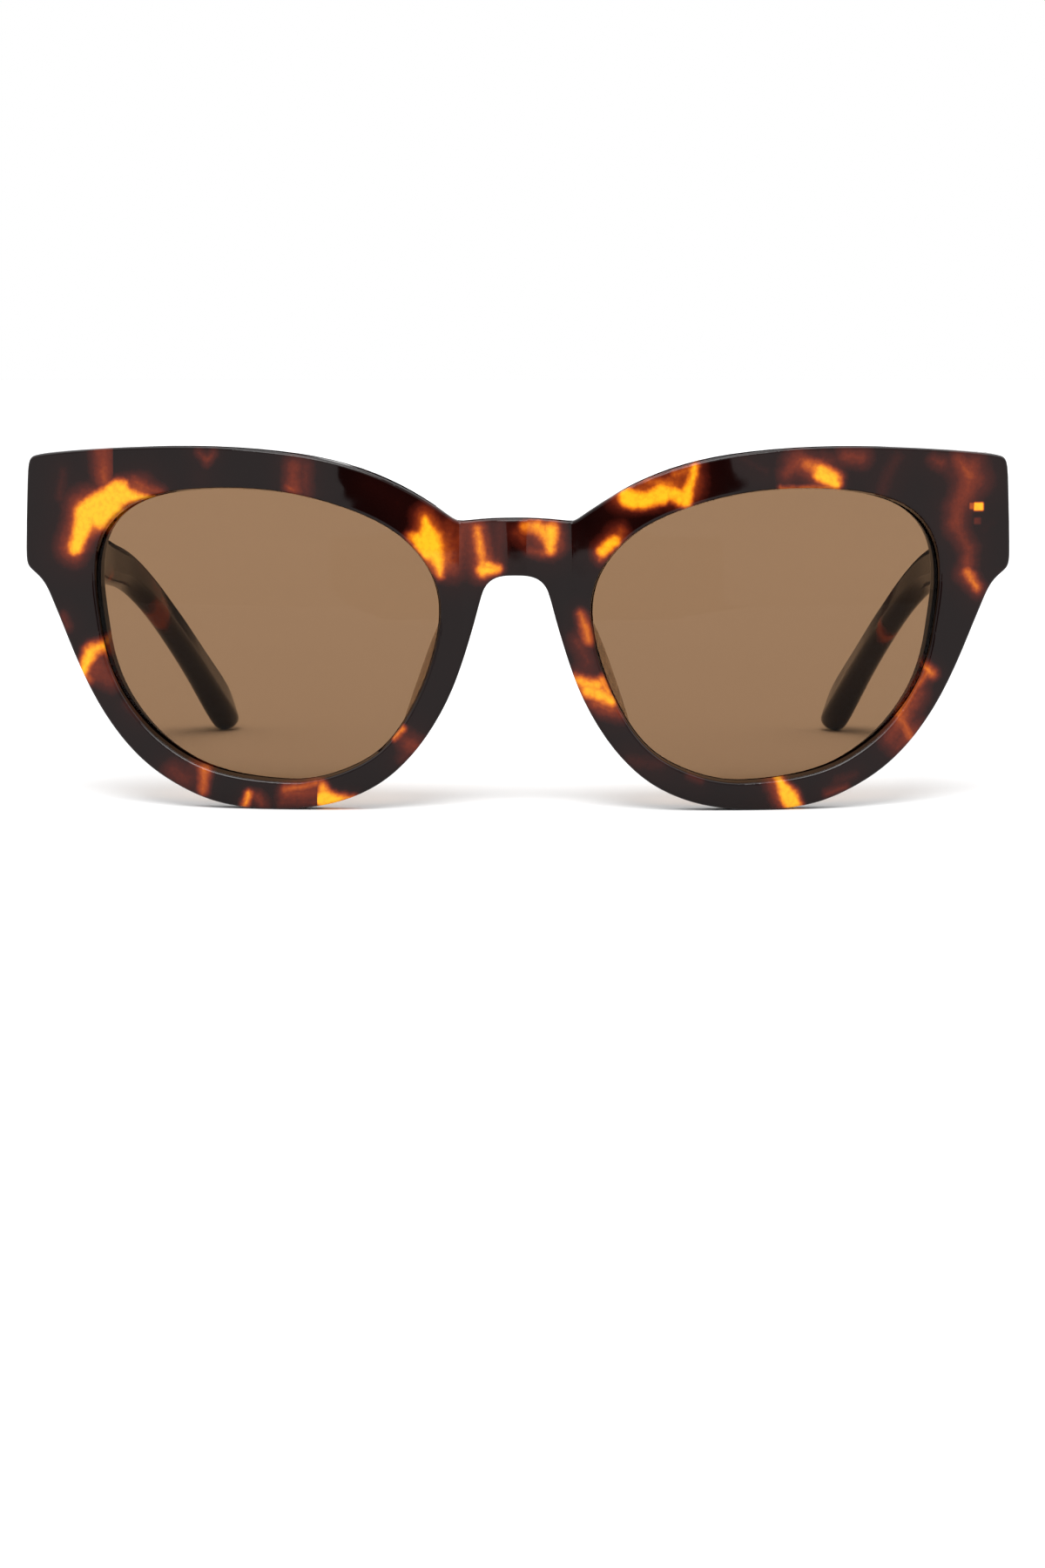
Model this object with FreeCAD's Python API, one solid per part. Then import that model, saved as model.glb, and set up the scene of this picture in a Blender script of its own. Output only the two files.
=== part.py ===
import FreeCAD, Part
import math
import os
from FreeCAD import Vector as V

os.makedirs("parts", exist_ok=True)

# Cat eye sunglasses, open, standing on the rims and the temple tips.
# Frame of reference: +Z up, wearer looks along -Y, wearer's left is +X.
# The geometry is laid out with y = 0 at the foremost line of the rims and is
# moved by y_origin at the end, so that the origin is the middle of the
# footprint on the surface the sunglasses stand on.

# ---------------------------------------------------------------- dimensions
base_radius = 132.0      # bend radius of the front (about base 4), vertical axis
apex_x = 16.2            # where each rim is foremost
front_t = 4.4            # thickness of the acetate rims
crease_x = 7.9           # half width of the rounded bridge
bridge_radius = 16.0     # forward bulge of the bridge
valley_radius = 1.5      # milled valley between the bridge and each rim
bridge_back_sag = 1.2    # forward bow of the bridge's rear face
edge_round_front = 0.45  # rounding of the front edges
edge_round_back = 0.6    # rounding of the rear edges

lens_cx, lens_cz = 36.0, 25.7
lens_radius = 150.0      # front surface of the lens
lens_t = 1.6
lens_depth = 0.9         # lens front surface below the rim's front, at mid height
groove_depth = 0.60      # groove round the opening
lens_tongue = 0.55       # how far the lens runs into the groove
opening_flare = 0.25     # the opening is this much wider at the front face
opening_wall = 0.65      # how far the opening's wall follows the bend of the rim

butt_y = 20.0            # rear face of the end pieces
butt_gap = 0.08          # gap between end piece and open temple
endpiece_z0 = 35.6       # underside of the thick end piece

hinge_x, hinge_y = 65.7, 22.0    # hinge axis
barrel_r = 1.6
barrel_h = 1.6                   # pitch of the five barrels
hinge_z0 = 40.0                  # lowest barrel starts here
barrel_gap = 0.04                # axial play at each end of a temple barrel
screw_r = 0.70
bore_clear = 0.04                # running clearance in the temple barrels
plate_t = 1.1                    # hinge plates, sunk flush in the acetate
wire_r = 0.70                    # core wire in the temple

y_origin = -68.55                # moves the layout onto the footprint's middle


# ------------------------------------------------------------ front surfaces
def rim_y(x, depth=0.0):
    """y of the rim at x, depth below the front face (radial)."""
    r = base_radius - depth
    dx = abs(x) - apex_x
    return base_radius - math.sqrt(r * r - dx * dx)


crease_y = rim_y(crease_x)
crease_a = math.asin((apex_x - crease_x) / base_radius)
bridge_sag = bridge_radius - math.sqrt(bridge_radius ** 2 - crease_x ** 2)


def front_y(x):
    """y of the front face at x, bridge included."""
    if abs(x) >= crease_x:
        return rim_y(x)
    return crease_y + (math.sqrt(bridge_radius ** 2 - crease_x ** 2)
                       - math.sqrt(bridge_radius ** 2 - x * x))


def ruling(x, w=1.0):
    """dx/dy of the edge walls: square to the bent rim, straight at the ends."""
    a = abs(x)
    if a < crease_x:
        s = math.tan(crease_a) * a / crease_x
    else:
        s = -math.tan(math.asin((a - apex_x) / base_radius))
    return math.copysign(1.0, x) * s * w if x else 0.0


def closed_wire(poles, par, breaks):
    """Smooth closed curve through the poles, as edges that end at breaks."""
    c = Part.BSplineCurve()
    c.interpolate(Points=poles, PeriodicFlag=True, Parameters=par)
    c.setNotPeriodic()
    edges = []
    stops = [par[i] for i in breaks] + [par[-1]]
    for a, b in zip(stops, stops[1:]):
        piece = c.copy()
        piece.segment(a, b)
        edges.append(piece.toShape())
    return Part.Wire(edges)


def ruled_prism(pts, y1, y2, grow=None):
    """Closed solid whose wall is ruled through pts = (x, z, wall weight).

    grow holds the outline of pts widened, reached at the front face."""
    par = [0.0]
    n = len(pts)
    for i in range(n):
        p, q = pts[i], pts[(i + 1) % n]
        par.append(par[-1] + math.sqrt(math.hypot(q[0] - p[0], q[1] - p[1])))
    breaks = list(range(0, n, max(3, n // 14)))
    if n - breaks[-1] < 2:
        breaks.pop()
    wires = []
    for y in (y1, y2):
        poles = []
        for i, p in enumerate(pts):
            d = y - front_y(p[0])
            x, z = p[0] + ruling(p[0], p[2]) * d, p[1]
            if grow:
                k = 1.0 - d / (lens_depth + 1.4)
                x += (grow[i][0] - p[0]) * k
                z += (grow[i][1] - p[1]) * k
            poles.append(V(x, y, z))
        wires.append(closed_wire(poles, par, breaks))
    faces = [Part.makeRuledSurface(a, b) for a, b in zip(wires[0].OrderedEdges, wires[1].OrderedEdges)]
    skin = Part.Compound(faces + [Part.Face(w) for w in wires])
    skin.sewShape()
    solid = Part.Solid(Part.Shell(skin.Faces))
    if solid.Volume < 0:
        solid.reverse()
    return solid


# half outline of the front as seen from the front, from the middle of the
# bridge's top over the end piece, round the rim and up the nose edge
half = [
    (2.6, 42.39, 1), (5.2, 42.20, 1), (6.9, 42.01, 1), (7.9, 41.99, 1), (8.8, 42.32, 1),
    (10.2, 43.26, 1), (13.0, 45.08, 1), (16.5, 47.02, 1), (20.5, 48.78, 1), (25.0, 50.24, 1),
    (30.0, 51.33, 1), (35.5, 52.05, 1), (41.5, 52.51, 1), (48.0, 52.69, 1), (54.5, 52.60, .9),
    (60.5, 52.31, .6), (65.5, 51.92, .3), (68.8, 51.56, 0), (70.6, 51.27, 0), (71.45, 50.90, 0),
    (71.85, 50.15, 0), (72.05, 48.8, 0), (72.2, 45.5, 0), (72.33, 41.5, 0), (72.41, 38.0, 0),
    (72.38, 36.1, 0), (72.08, 34.95, 0), (71.3, 34.12, .05), (70.3, 33.22, .15), (69.3, 31.8, .35),
    (68.2, 29.3, .7), (66.8, 25.9, 1), (64.75, 21.1, 1), (61.9, 15.5, 1), (58.2, 10.2, 1),
    (53.9, 6.0, 1), (49.0, 2.95, 1), (44.3, 1.08, 1), (39.8, 0.26, 1), (35.3, 0.0, 1),
    (30.8, 0.26, 1), (26.2, 1.10, 1), (21.8, 2.76, 1), (18.0, 5.2, 1), (14.6, 8.6, 1),
    (12.1, 12.05, 1), (9.9, 16.0, 1), (8.2, 20.1, 1), (6.9, 24.0, 1), (5.75, 28.0, 1),
    (4.95, 31.0, 1), (4.36, 32.5, 1), (3.45, 33.5, 1), (2.3, 34.03, 1), (1.1, 34.21, 1),
]
outline = [(0.0, 42.44, 1)] + half + [(0.0, 34.23, 1)] + [(-x, z, w) for x, z, w in reversed(half)]

# opening of the right-hand rim (+X), as seen from the front
opening = [
    (60.80, 25.60), (61.46, 30.15), (61.69, 35.10), (60.53, 39.94), (57.26, 43.55), (52.54, 45.50),
    (47.60, 46.28), (43.22, 46.52), (39.28, 46.48), (35.60, 46.20), (32.06, 45.67), (28.58, 44.88),
    (25.09, 43.82), (21.46, 42.41), (17.86, 40.43), (14.64, 37.66), (12.19, 34.07), (11.12, 29.91),
    (11.40, 25.60), (12.41, 21.52), (13.85, 17.68), (15.68, 14.09), (17.89, 10.79), (20.79, 8.02),
    (24.28, 6.10), (28.01, 4.83), (31.82, 4.25), (35.60, 4.34), (39.29, 4.70), (42.97, 5.38),
    (46.58, 6.58), (49.99, 8.44), (53.14, 10.88), (55.91, 13.88), (58.22, 17.38), (59.86, 21.33),
]


def opening_points(grow):
    """The opening's outline moved outward by grow, along its normals."""
    n = len(opening)
    out = []
    for i in range(n):
        a, b, c = opening[i - 1], opening[i], opening[(i + 1) % n]
        tx, tz = c[0] - a[0], c[1] - a[1]
        m = math.hypot(tx, tz)
        out.append((b[0] + grow * tz / m, b[1] - grow * tx / m, opening_wall))
    return out


def mirror(s):
    return s.mirror(V(0, 0, 0), V(1, 0, 0))


# ------------------------------------------------------------- frame_front
def on_rim(x, depth):
    """Point of the rim profile below the front-face point x."""
    a = math.asin((x - apex_x) / base_radius)
    return V(x - depth * math.sin(a), rim_y(x) + depth * math.cos(a), 0)


def mx(p):
    return V(-p.x, p.y, p.z)


far = 75.5
f0, f1, f2 = on_rim(crease_x, 0), on_rim(45.0, 0), on_rim(far, 0)
b0, b1, b2 = on_rim(crease_x, front_t), on_rim(45.0, front_t), on_rim(far, front_t)
bridge_front = V(0, crease_y - bridge_sag, 0)
bridge_back = V(0, b0.y - bridge_back_sag, 0)
profile = Part.Wire([
    Part.Arc(mx(f0), bridge_front, f0).toShape(),
    Part.Arc(f0, f1, f2).toShape(),
    Part.LineSegment(f2, b2).toShape(),
    Part.Arc(b2, b1, b0).toShape(),
    Part.Arc(b0, bridge_back, mx(b0)).toShape(),
    Part.Arc(mx(b0), mx(b1), mx(b2)).toShape(),
    Part.LineSegment(mx(b2), mx(f2)).toShape(),
    Part.Arc(mx(f2), mx(f1), mx(f0)).toShape(),
])
plate = Part.Face(profile).extrude(V(0, 0, 60))
plate.translate(V(0, 0, -3))
# the milled valley beside the bridge has a small radius
plate = plate.makeFillet(valley_radius, [e for e in plate.Edges if e.Length > 59
                                         and abs(abs(e.CenterOfMass.x) - crease_x) < 0.01
                                         and e.CenterOfMass.y < 1.0])

end_profile = [V(61.0, 11.2, 0), V(62.3, 14.2, 0), V(62.8, 17.1, 0), V(63.1, butt_y, 0), V(75.0, butt_y, 0),
               V(75.0, 13.5, 0), V(66.0, 11.5, 0)]
end_wire = Part.Wire([
    Part.LineSegment(end_profile[0], end_profile[1]).toShape(),
    Part.Arc(end_profile[1], end_profile[2], end_profile[3]).toShape(),
] + [Part.LineSegment(end_profile[i], end_profile[(i + 1) % 7]).toShape() for i in range(3, 7)])
end_block = Part.Face(end_wire).extrude(V(0, 0, 24))
end_block.translate(V(0, 0, endpiece_z0))

blank = plate.fuse([end_block, mirror(end_block)])
prism = ruled_prism(outline, -6.0, 26.0)
front = blank.common(prism)
if front.ShapeType != "Solid":
    front = max(front.Solids, key=lambda s: s.Volume)

# the two openings: a straight wall behind the lens, a slight flare in front
cut_through = ruled_prism(opening_points(0.0), -6.0, 26.0)

# spherical lens, its axis square to the rim at the lens centre
lens_a = math.asin((lens_cx - apex_x) / base_radius)
inward = V(-math.sin(lens_a), math.cos(lens_a), 0)
vertex = V(lens_cx, rim_y(lens_cx), lens_cz) + inward * lens_depth
lens_centre = vertex + inward * lens_radius
outer_ball = Part.makeSphere(lens_radius, lens_centre)
inner_ball = Part.makeSphere(lens_radius - lens_t, lens_centre)
shell_ball = outer_ball.cut(inner_ball)

groove = ruled_prism(opening_points(groove_depth), -6.0, 26.0).common(shell_ball)
groove = max(groove.Solids, key=lambda s: s.Volume)
lens = ruled_prism(opening_points(lens_tongue), -6.0, 26.0).common(shell_ball)
lens = max(lens.Solids, key=lambda s: s.Volume)
flare = ruled_prism(opening_points(0.0), -6.0, 26.0, opening_points(opening_flare)).cut(outer_ball)
flare = min(flare.Solids, key=lambda s: s.CenterOfMass.y)

front = front.cut([cut_through, mirror(cut_through), flare, mirror(flare)])
front = max(front.Solids, key=lambda s: s.Volume)


def round_chain(shape, pick, r, name):
    """Round the tangent chain that starts at the longest edge pick accepts."""
    edges = sorted([e for e in shape.Edges if pick(e)], key=lambda e: -e.Length)
    for e in edges[:4]:
        try:
            s = shape.makeFillet(r, [e])
        except Exception:
            continue
        if s.isValid() and len(s.Solids) == 1 and abs(s.Volume - shape.Volume) < 0.02 * shape.Volume:
            print("rounded %-22s r %.2f  volume %+.2f" % (name, r, s.Volume - shape.Volume))
            return s.Solids[0]
    print("not rounded", name, len(edges), "edges")
    return shape


def edge_samples(e, n=7):
    a, b = e.FirstParameter, e.LastParameter
    return [e.valueAt(a + (b - a) * (i + 0.5) / n) for i in range(n)]


def beside_opening(p):
    return min(math.hypot(abs(p.x) - a, p.z - b) for a, b in opening) < 2.3


def at_depth(e, depth, tol=0.08):
    return all(abs(p.y - (front_y(p.x) if depth == 0 else rim_y(p.x, depth))) < tol for p in edge_samples(e))


front = round_chain(front, lambda e: at_depth(e, 0) and e.Length > 5 and not beside_opening(e.CenterOfMass)
                    and not all(abs(abs(p.x) - crease_x) < 1.2 for p in edge_samples(e)),
                    edge_round_front, "front outline")
for side in (1, -1):
    front = round_chain(front, lambda e: at_depth(e, 0) and beside_opening(e.CenterOfMass) and e.CenterOfMass.x * side > 0,
                        edge_round_front, "opening, front")
    front = round_chain(front, lambda e: at_depth(e, front_t, 0.02) and beside_opening(e.CenterOfMass)
                        and e.CenterOfMass.x * side > 0, 0.35, "opening, rear")
    front = round_chain(front, lambda e: at_depth(e, front_t, 0.02) and not beside_opening(e.CenterOfMass)
                        and e.CenterOfMass.x * side > 8.5 and e.CenterOfMass.z < 35, edge_round_back, "outline, rear")

front = front.cut([groove, mirror(groove)])
front = max(front.Solids, key=lambda s: s.Volume)

# --------------------------------------------------------------- nose pads
# fins of clear acetate glued to the back of the nasal rims, leaning outward
pad_rows = [  # z, nose edge x at the rim's back, height of the fin, outer x at its rear, root width
    (10.2, 14.2, 1.2, 16.8, 1.7), (11.6, 13.0, 3.0, 16.8, 2.5), (13.8, 11.6, 4.8, 16.2, 3.1),
    (16.8, 10.0, 6.2, 15.2, 3.6), (20.2, 8.65, 6.8, 14.0, 3.8), (23.4, 7.6, 6.3, 12.85, 3.7),
    (26.2, 6.8, 4.9, 11.7, 3.4), (28.4, 6.15, 3.0, 10.6, 2.9), (29.8, 5.9, 1.2, 9.5, 2.0),
]


def pad_section(z, xn, h, xt, w):
    yb = rim_y(xn + 2.0, front_t)
    t = 1.5 + 0.1 * h
    root = (xn + 0.35 + w / 2, yb - 1.2)
    tip = (xt - t / 2, yb + h)

    def at(u, side):
        cx = root[0] + (tip[0] - root[0]) * u
        cy = root[1] + (tip[1] - root[1]) * u
        return V(cx + side * (w / 2 * (1 - u) + t / 2 * u), cy, z)
    pts = [at(0.0, -1), at(0.42, -1), at(0.84, -1), at(1.0, 0), at(0.84, 1), at(0.42, 1), at(0.0, 1)]
    c = Part.BSplineCurve()
    c.interpolate(Points=pts)
    return Part.Wire([c.toShape(), Part.LineSegment(pts[-1], pts[0]).toShape()])


pad_raw = Part.makeLoft([pad_section(*r) for r in pad_rows], True, False)
pad = pad_raw.cut(front)
pad = max([s for s in pad.Solids if s.CenterOfMass.y > front_t], key=lambda s: s.Volume)

# ------------------------------------------------------------------ temple
# stations along the arm: y, x, z of the centre line, height, thickness, lean
stations = [
    (16.0, 69.95, 44.6, 15.4, 4.5, 0), (21.0, 69.97, 43.6, 14.6, 4.5, 0), (30.0, 70.05, 41.9, 13.3, 4.4, 0),
    (42.0, 70.1, 39.6, 11.7, 4.3, 0), (56.0, 70.0, 36.8, 9.8, 4.15, 0), (68.0, 69.6, 34.4, 8.3, 4.0, 2),
    (78.0, 68.7, 32.6, 7.3, 3.9, 5), (87.0, 67.4, 31.1, 6.7, 3.85, 9), (94.5, 65.9, 29.3, 6.5, 3.8, 13),
    (101.0, 63.8, 26.1, 6.6, 3.8, 18), (108.0, 61.6, 21.9, 7.1, 3.9, 21), (117.0, 59.0, 16.2, 8.0, 4.1, 22),
    (126.0, 56.5, 10.15, 8.9, 4.4, 22), (133.4, 54.4, 5.06, 9.6, 4.65, 22),
]
tip_rows = [(1.7, 0.95, 0.99), (3.3, 0.82, 0.94), (4.6, 0.62, 0.82), (5.3, 0.42, 0.62)]  # beyond, height, thickness


def station_axes(i):
    p = V(*[stations[i][k] for k in (1, 0, 2)])
    a = V(*[stations[max(i - 1, 0)][k] for k in (1, 0, 2)])
    b = V(*[stations[min(i + 1, len(stations) - 1)][k] for k in (1, 0, 2)])
    t = (b - a).normalize()
    lean = math.radians(stations[i][5])
    up = V(math.sin(lean), 0, math.cos(lean))
    up = (up - t * up.dot(t)).normalize()
    side = up.cross(t).normalize()
    return p, t, up, side


def rounded_section(p, up, side, h, w, frac=0.44):
    """Rounded rectangle: eight edges, corners of radius frac * width."""
    r = frac * w
    hh, hw = h / 2, w / 2
    k = r * (1 - math.sqrt(0.5))

    def q(u, v):
        return p + side * u + up * v
    e = [
        Part.LineSegment(q(-hw + r, hh), q(hw - r, hh)), Part.Arc(q(hw - r, hh), q(hw - k, hh - k), q(hw, hh - r)),
        Part.LineSegment(q(hw, hh - r), q(hw, -hh + r)), Part.Arc(q(hw, -hh + r), q(hw - k, -hh + k), q(hw - r, -hh)),
        Part.LineSegment(q(hw - r, -hh), q(-hw + r, -hh)), Part.Arc(q(-hw + r, -hh), q(-hw + k, -hh + k), q(-hw, -hh + r)),
        Part.LineSegment(q(-hw, -hh + r), q(-hw, hh - r)), Part.Arc(q(-hw, hh - r), q(-hw + k, hh - k), q(-hw + r, hh)),
    ]
    return Part.Wire([s.toShape() for s in e])


sections = []
for i, s in enumerate(stations):
    p, t, up, side = station_axes(i)
    sections.append(rounded_section(p, up, side, s[3], s[4]))
for beyond, kh, kw in tip_rows:
    sections.append(rounded_section(p + t * beyond, up, side, s[3] * kh, s[4] * kw))
temple = Part.makeLoft(sections, True, False)
ahead = Part.makeBox(30, 30, 60, V(55, butt_y + butt_gap - 30, 10))
temple = temple.cut(ahead)
temple = max(temple.Solids, key=lambda s: s.Volume)


def near_butt(e):
    return all(abs(q.y - (butt_y + butt_gap)) < 0.01 for q in edge_samples(e))


temple = round_chain(temple, near_butt, 0.35, "temple butt")

# core wire along the middle of the arm
wire_sections = []
for i, s in enumerate(stations):
    if s[0] < 40 or s[0] > 123:
        continue
    p, t, up, side = station_axes(i)
    ring = [p + (side * math.cos(k * math.pi / 4) + up * math.sin(k * math.pi / 4)) * wire_r for k in range(9)]
    wire_sections.append(Part.Wire([Part.Arc(ring[k], ring[k + 1], ring[k + 2]).toShape() for k in (0, 2, 4, 6)]))
core_wire = Part.makeLoft(wire_sections, True, False)

# ------------------------------------------------------------------- hinge
bz = [hinge_z0 + i * barrel_h for i in range(6)]
hz0, hz1 = bz[0], bz[5]


def barrel(z0, z1, bore):
    b = Part.makeCylinder(barrel_r, z1 - z0, V(hinge_x, hinge_y, z0))
    return b, Part.makeCylinder(bore, z1 - z0 + 2, V(hinge_x, hinge_y, z0 - 1))


front_plate = Part.makeBox(5.8, plate_t, hz1 - hz0 + 1.0, V(63.4, butt_y - plate_t, hz0 - 0.5))
posts = [Part.makeBox(w, 2.6, h, V(x, butt_y - plate_t - 2.6, z)) for w, h, x, z in ((2.3, 1.6, 66.6, 43.0), (1.2, 1.1, 67.5, 41.0))]
front_parts = list(posts)
front_bores = []
for i in (0, 2, 4):
    b, c = barrel(bz[i], bz[i + 1], screw_r)
    web = Part.makeBox(2 * barrel_r, hinge_y - butt_y, barrel_h, V(hinge_x - barrel_r, butt_y, bz[i]))
    front_parts += [b, web]
    front_bores.append(c)
hinge_front = front_plate.fuse(front_parts).removeSplitter()
hinge_front = hinge_front.cut(front_bores).Solids[0]

inner_x = 67.72
temple_plate = Part.makeBox(plate_t, 11.2, hz1 - hz0 + 0.6, V(inner_x, butt_y + 0.5, hz0 - 0.3))
temple_parts = []
temple_bores = []
for i in (1, 3):
    z0, z1 = bz[i] + barrel_gap, bz[i + 1] - barrel_gap
    b, c = barrel(z0, z1, screw_r + bore_clear)
    web = Part.makeBox(inner_x - hinge_x + 0.2, 2 * barrel_r, z1 - z0, V(hinge_x, hinge_y - barrel_r, z0))
    temple_parts += [b, web]
    temple_bores.append(c)
hinge_temple = temple_plate.fuse(temple_parts).removeSplitter()
hinge_temple = hinge_temple.cut(temple_bores).Solids[0]

screw = Part.makeCylinder(screw_r, hz1 - hz0 + 0.3, V(hinge_x, hinge_y, hz0 - 0.3))
head = Part.makeCylinder(1.25, 0.7, V(hinge_x, hinge_y, hz1))
head = head.makeFillet(0.18, [e for e in head.Edges if abs(e.CenterOfMass.z - hz1 - 0.7) < 1e-6 and e.Length > 3])
slot = Part.makeBox(3.0, 0.35, 0.35, V(hinge_x - 1.5, hinge_y - 0.175, hz1 + 0.36))
screw = screw.fuse(head).removeSplitter().cut(slot).Solids[0]

# pockets: the metal lies in the acetate face to face
front = front.cut([hinge_front, mirror(hinge_front)])
front = max(front.Solids, key=lambda s: s.Volume)
temple = temple.cut([hinge_temple, core_wire])
temple = max(temple.Solids, key=lambda s: s.Volume)

# ------------------------------------------------------------------ export
left = {  # wearer's left, +X
    "lens": lens, "nose_pad": pad, "temple": temple, "core_wire": core_wire,
    "hinge_front": hinge_front, "hinge_temple": hinge_temple, "hinge_screw": screw,
}
nodes = {"frame_front": front}
for name, s in left.items():
    nodes[name + "_left"] = s
    nodes[name + "_right"] = mirror(s)

box = None
for name, s in nodes.items():
    s = s.copy()
    s.translate(V(0, y_origin, 0))
    nodes[name] = s
    bb = s.optimalBoundingBox(False, False)
    print("%-20s vol %9.2f valid %s solids %d  x %.2f..%.2f y %.2f..%.2f z %.2f..%.2f" % (
        name, s.Volume, s.isValid(), len(s.Solids), bb.XMin, bb.XMax, bb.YMin, bb.YMax, bb.ZMin, bb.ZMax))
    if box is None:
        box = FreeCAD.BoundBox(bb)
    else:
        box.add(bb)
    s.exportStep("parts/%s.step" % name)
print("overall x %.2f..%.2f y %.2f..%.2f z %.2f..%.2f" % (
    box.XMin, box.XMax, box.YMin, box.YMax, box.ZMin, box.ZMax))
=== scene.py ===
import math

import bpy
from mathutils import Matrix, Vector


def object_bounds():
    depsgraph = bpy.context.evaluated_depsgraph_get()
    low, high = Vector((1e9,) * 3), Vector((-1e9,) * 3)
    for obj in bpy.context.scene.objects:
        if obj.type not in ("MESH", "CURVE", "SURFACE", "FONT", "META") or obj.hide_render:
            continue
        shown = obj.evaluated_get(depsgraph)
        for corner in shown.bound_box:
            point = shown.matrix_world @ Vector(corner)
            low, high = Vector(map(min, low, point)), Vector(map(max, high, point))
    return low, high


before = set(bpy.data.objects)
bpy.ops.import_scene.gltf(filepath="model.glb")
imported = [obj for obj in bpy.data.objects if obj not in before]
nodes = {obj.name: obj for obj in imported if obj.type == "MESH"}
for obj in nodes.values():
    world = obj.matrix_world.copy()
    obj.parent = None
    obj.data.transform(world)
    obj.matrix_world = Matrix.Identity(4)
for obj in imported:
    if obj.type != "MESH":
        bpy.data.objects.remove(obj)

cad_box = [list(v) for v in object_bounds()]
scene = bpy.context.scene

# ------------------------------------------------------------ node helpers


class Tree:
    """Small helper that writes node trees."""

    def __init__(self, tree):
        self.t = tree
        self.n = tree.nodes
        self.l = tree.links

    def new(self, kind, **props):
        node = self.n.new(kind)
        for k, v in props.items():
            setattr(node, k, v)
        return node

    def put(self, socket, value):
        if isinstance(value, bpy.types.NodeSocket):
            self.l.new(value, socket)
        elif value is not None:
            socket.default_value = value

    def math(self, op, a, b=None, c=None, clamp=False):
        n = self.new("ShaderNodeMath", operation=op, use_clamp=clamp)
        self.put(n.inputs[0], a)
        if b is not None:
            self.put(n.inputs[1], b)
        if c is not None:
            self.put(n.inputs[2], c)
        return n.outputs[0]

    def vec(self, op, a, b=None, c=None, scale=None):
        n = self.new("ShaderNodeVectorMath", operation=op)
        self.put(n.inputs[0], a)
        if b is not None:
            self.put(n.inputs[1], b)
        if c is not None:
            self.put(n.inputs[2], c)
        if scale is not None:
            self.put(n.inputs["Scale"], scale)
        return n.outputs["Value"] if op in ("DOT_PRODUCT", "LENGTH", "DISTANCE") else n.outputs["Vector"]

    def noise(self, vector, scale, detail=2.0, rough=0.5, distortion=0.0, out="Fac"):
        n = self.new("ShaderNodeTexNoise")
        self.put(n.inputs["Vector"], vector)
        self.put(n.inputs["Scale"], scale)
        self.put(n.inputs["Detail"], detail)
        self.put(n.inputs["Roughness"], rough)
        self.put(n.inputs["Distortion"], distortion)
        return n.outputs[out]

    def span(self, value, a, b, c=0.0, d=1.0, smooth=True):
        n = self.new("ShaderNodeMapRange", interpolation_type="SMOOTHSTEP" if smooth else "LINEAR")
        for i, v in enumerate((value, a, b, c, d)):
            self.put(n.inputs[i], v)
        return n.outputs[0]

    def ramp(self, value, stops, mode="EASE"):
        n = self.new("ShaderNodeValToRGB")
        n.color_ramp.interpolation = mode
        el = n.color_ramp.elements
        while len(el) < len(stops):
            el.new(1.0)
        for e, (pos, col) in zip(el, stops):
            e.position = pos
            e.color = (*col, 1.0)
        self.put(n.inputs[0], value)
        return n.outputs["Color"]

    def mix(self, fac, a, b, blend="MIX"):
        n = self.new("ShaderNodeMix", data_type="RGBA", blend_type=blend)
        self.put(n.inputs["Factor"], fac)
        self.put(n.inputs[6], a)
        self.put(n.inputs[7], b)
        return n.outputs[2]


def new_material(name):
    m = bpy.data.materials.new(name)
    m.use_nodes = True
    m.node_tree.nodes.clear()
    return m, Tree(m.node_tree)


def finish_material(tr, shader):
    out = tr.new("ShaderNodeOutputMaterial")
    tr.l.new(shader, out.inputs["Surface"])


def principled(tr, **inputs):
    p = tr.new("ShaderNodeBsdfPrincipled")
    for k, v in inputs.items():
        tr.put(p.inputs[k], v)
    return p


def millimetres(tr):
    """Object coordinates in millimetres."""
    co = tr.new("ShaderNodeTexCoord").outputs["Object"]
    return tr.vec("SCALE", co, scale=1000.0)


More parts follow.
